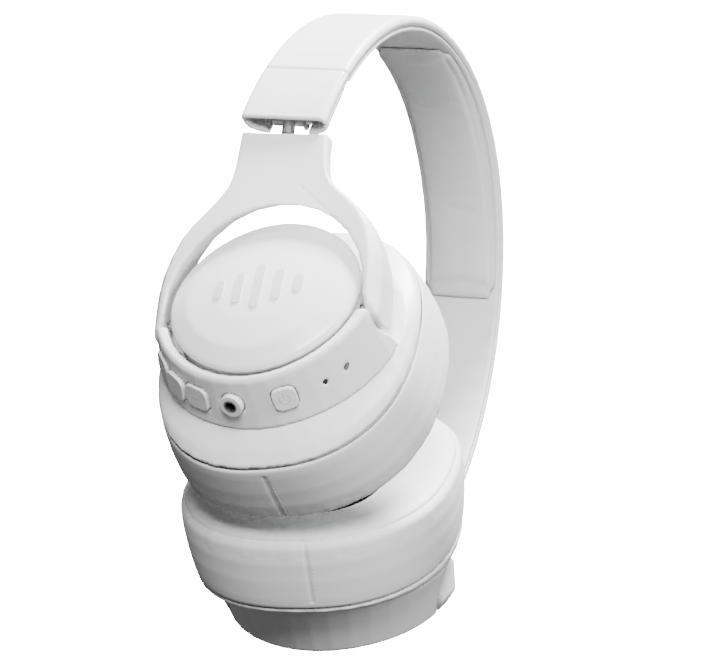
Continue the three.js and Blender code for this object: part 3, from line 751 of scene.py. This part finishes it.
def level_bars():
    """A generic sound-level device: five upright bars with round ends."""
    heights = (4.0, 8.5, 13.0, 8.5, 4.0)
    return [capsule((x, -h / 2), (x, h / 2), 2.6) for x, h in zip((-12, -6, 0, 6, 12), heights)]


def add_cap_device(side, cap):
    cup = CUPS[side]
    centre = Vector(cup.world([[CAP_TOP, 0, 0]])[0])
    name, body = side + "_cap_device", side + "_cup"
    across, up = cup.forward, cup.up
    # The bars' darker grey is painted shade, in place of the shading at their raised edges.
    mark(name, level_bars(), cap, centre, across, up, DEVICE_PAINTED_SHADE, body, 0.35)


def key_frame(joint):
    """Across, up and outward directions on a key."""
    inward = Vector(JOINTS[joint]["axis"]).normalized()
    cup = CUPS["right"]
    across = cup.out.cross(inward).normalized()
    return across, cup.out, -inward


KEYS = {
    "right_power_button": (
        "right_power_press",
        [stroke(arc(1.5, 125, 415), 0.34), capsule((0, 0.5), (0, 2.0), 0.34)],
    ),
    "right_volume_down_key": ("right_volume_down_press", [capsule((-0.9, 0), (0.9, 0), 0.32)]),
    "right_volume_up_key": (
        "right_volume_up_press",
        [capsule((-0.9, 0), (0.9, 0), 0.32), capsule((0, -0.9), (0, 0.9), 0.32)],
    ),
    "right_function_key": ("right_function_press", [capsule((-0.01, 0), (0.01, 0), 0.7)]),
}


def add_keys():
    for node, (joint, shapes) in KEYS.items():
        key = shell(node, KEY_WHITE, 0.22, 5)
        low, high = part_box(node)
        across, up, out = key_frame(joint)
        centre = (low + high) / 2 + out * 2 * MM
        body = frame["nodes"][node]["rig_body"]
        mark(node + "_mark", shapes, key, centre, across, up, MARK_GREY, body, 0.1)


# ---------------------------------------------------------------- carried-over parts


FINISHES = {
    "gloss_shell": GLOSS,
    "satin_shell": SATIN,
    "light_pipe": LIGHT_PIPE,
    "soft_leather": PAD_LEATHER,
    "cloth": ACOUSTIC,
    "steel": STEEL,
    "dark_plastic": BLACK,
    "board": CIRCUIT,
}


def finish_nodes():
    """Every CAD node keeps its shape and gets a worked material."""
    slots = {s["node"]: s["material_slot"] for s in RECORD["subparts"]}
    for name, obj in frame["nodes"].items():
        obj.data.materials.clear()
        obj.data.materials.append(FINISHES[slots[name]])
        obj.data.polygons.foreach_set("material_index", [0] * len(obj.data.polygons))


def plug_end(node):
    """The middle of a small plug's outer end, and the direction outward."""
    obj = frame["nodes"][node]
    points = points_of(obj)
    facing = np.array([f.normal for f in obj.data.polygons])
    sizes = np.array([f.area for f in obj.data.polygons])
    flat = [sizes[facing @ one > 0.999].sum() for one in facing]
    out = facing[int(np.argmax(flat))]
    if (points.mean(axis=0) - np.array(CUPS["right"].world([[0, 0, 0]])[0])) @ out < 0:
        out = -out
    reach = points @ out
    end = points[reach > reach.max() - 0.05 * MM]
    return Vector(end.mean(axis=0)), Vector(out)


def add_socket():
    """The headphone socket: a pale collar, a steel rim, and black on the hole's shallow floor as
    painted shade of the hole's depth.
    """
    obj = shell("right_aux_socket", KEY_WHITE, 0.14, 4)
    data = obj.data
    for material in (STEEL, BLACK):
        data.materials.append(material)
    middle, out = plug_end("right_aux_socket")
    for face in data.polygons:
        from_axis = (face.center - middle).cross(out).length / MM
        # Faces near the axis get the black moulding as painted shade, standing in for the darkness
        # down a deep hole.
        face.material_index = 2 if from_axis < SOCKET_HOLE else 1 if from_axis < SOCKET_RIM else 0


# ---------------------------------------------------------------- stage, light and camera


def add_floor():
    """A pale floor, seen from above only, so that it doesn't hide the headphones from below."""
    half = 3.0
    data = bpy.data.meshes.new("floor")
    corners = [(-half, -half, 0), (half, -half, 0), (half, half, 0), (-half, half, 0)]
    data.from_pydata(corners, [], [(0, 1, 2, 3)])
    floor = add_object("floor", data)
    floor.location.z = CAD_LOW.z - 0.0005
    n = Nodes("floor_pale")
    n.link(n.ramp(n.noise(3, 4), grey(0.80), grey(0.83)), "Base Color")
    n.set(Roughness=0.7)
    clear = n.add("BsdfTransparent").outputs["BSDF"]
    back = n.add("NewGeometry").outputs["Backfacing"]
    both = n.add("MixShader", {0: back, 1: n.shader.outputs["BSDF"], 2: clear})
    n.tree.links.new(both.outputs[0], n.tree.nodes["Material Output"].inputs["Surface"])
    data.materials.append(n.material)
    floor.visible_diffuse = floor.visible_glossy = floor.visible_shadow = False


def add_area(name, place, size, watts):
    light = bpy.data.lights.new(name, "AREA")
    light.shape, light.size, light.energy = "DISK", size, watts
    obj = bpy.data.objects.new(name, light)
    bpy.context.scene.collection.objects.link(obj)
    centre = (CAD_LOW + CAD_HIGH) / 2
    obj.location = centre + Vector(place)
    obj.rotation_mode = "QUATERNION"
    obj.rotation_quaternion = (centre - obj.location).to_track_quat("-Z", "Y")


def add_light():
    world = bpy.data.worlds.new("studio")
    bpy.context.scene.world = world
    world.use_nodes = True
    tree = world.node_tree
    soft = tree.nodes["Background"]
    soft.inputs["Color"].default_value = (1, 1, 1, 1)
    soft.inputs["Strength"].default_value = SOFT_LIGHT
    backdrop = tree.nodes.new("ShaderNodeBackground")
    backdrop.inputs["Color"].default_value = (1, 1, 1, 1)
    backdrop.inputs["Strength"].default_value = BACKDROP_LIGHT
    seen = tree.nodes.new("ShaderNodeLightPath").outputs["Is Camera Ray"]
    both = tree.nodes.new("ShaderNodeMixShader")
    tree.links.new(seen, both.inputs[0])
    tree.links.new(soft.outputs[0], both.inputs[1])
    tree.links.new(backdrop.outputs[0], both.inputs[2])
    tree.links.new(both.outputs[0], tree.nodes["World Output"].inputs["Surface"])
    add_area("key", (0.80, 0.25, -0.30), 0.45, 16)
    add_area("front", (0.45, 0.95, -0.05), 0.6, 9)
    add_area("above", (0.62, 0.15, 0.85), 0.35, 80)


def add_camera():
    data = bpy.data.cameras.new("camera")
    data.sensor_width, data.lens = 36, CAMERA_LENS
    data.clip_start, data.clip_end = 0.05, 20
    camera = bpy.data.objects.new("camera", data)
    bpy.context.scene.collection.objects.link(camera)
    camera.rotation_mode = "QUATERNION"
    camera.location, camera.rotation_quaternion = CAMERA_AT, CAMERA_TURN
    bpy.context.scene.camera = camera


# ---------------------------------------------------------------- the whole


add_camera()
add_light()
add_floor()
finish_nodes()
add_band()
add_band_cushion()
add_keys()
add_socket()
for one_side in SIDES:
    add_arm(one_side)
    add_cap_device(one_side, add_cup_shells(one_side))
    add_pad(one_side)
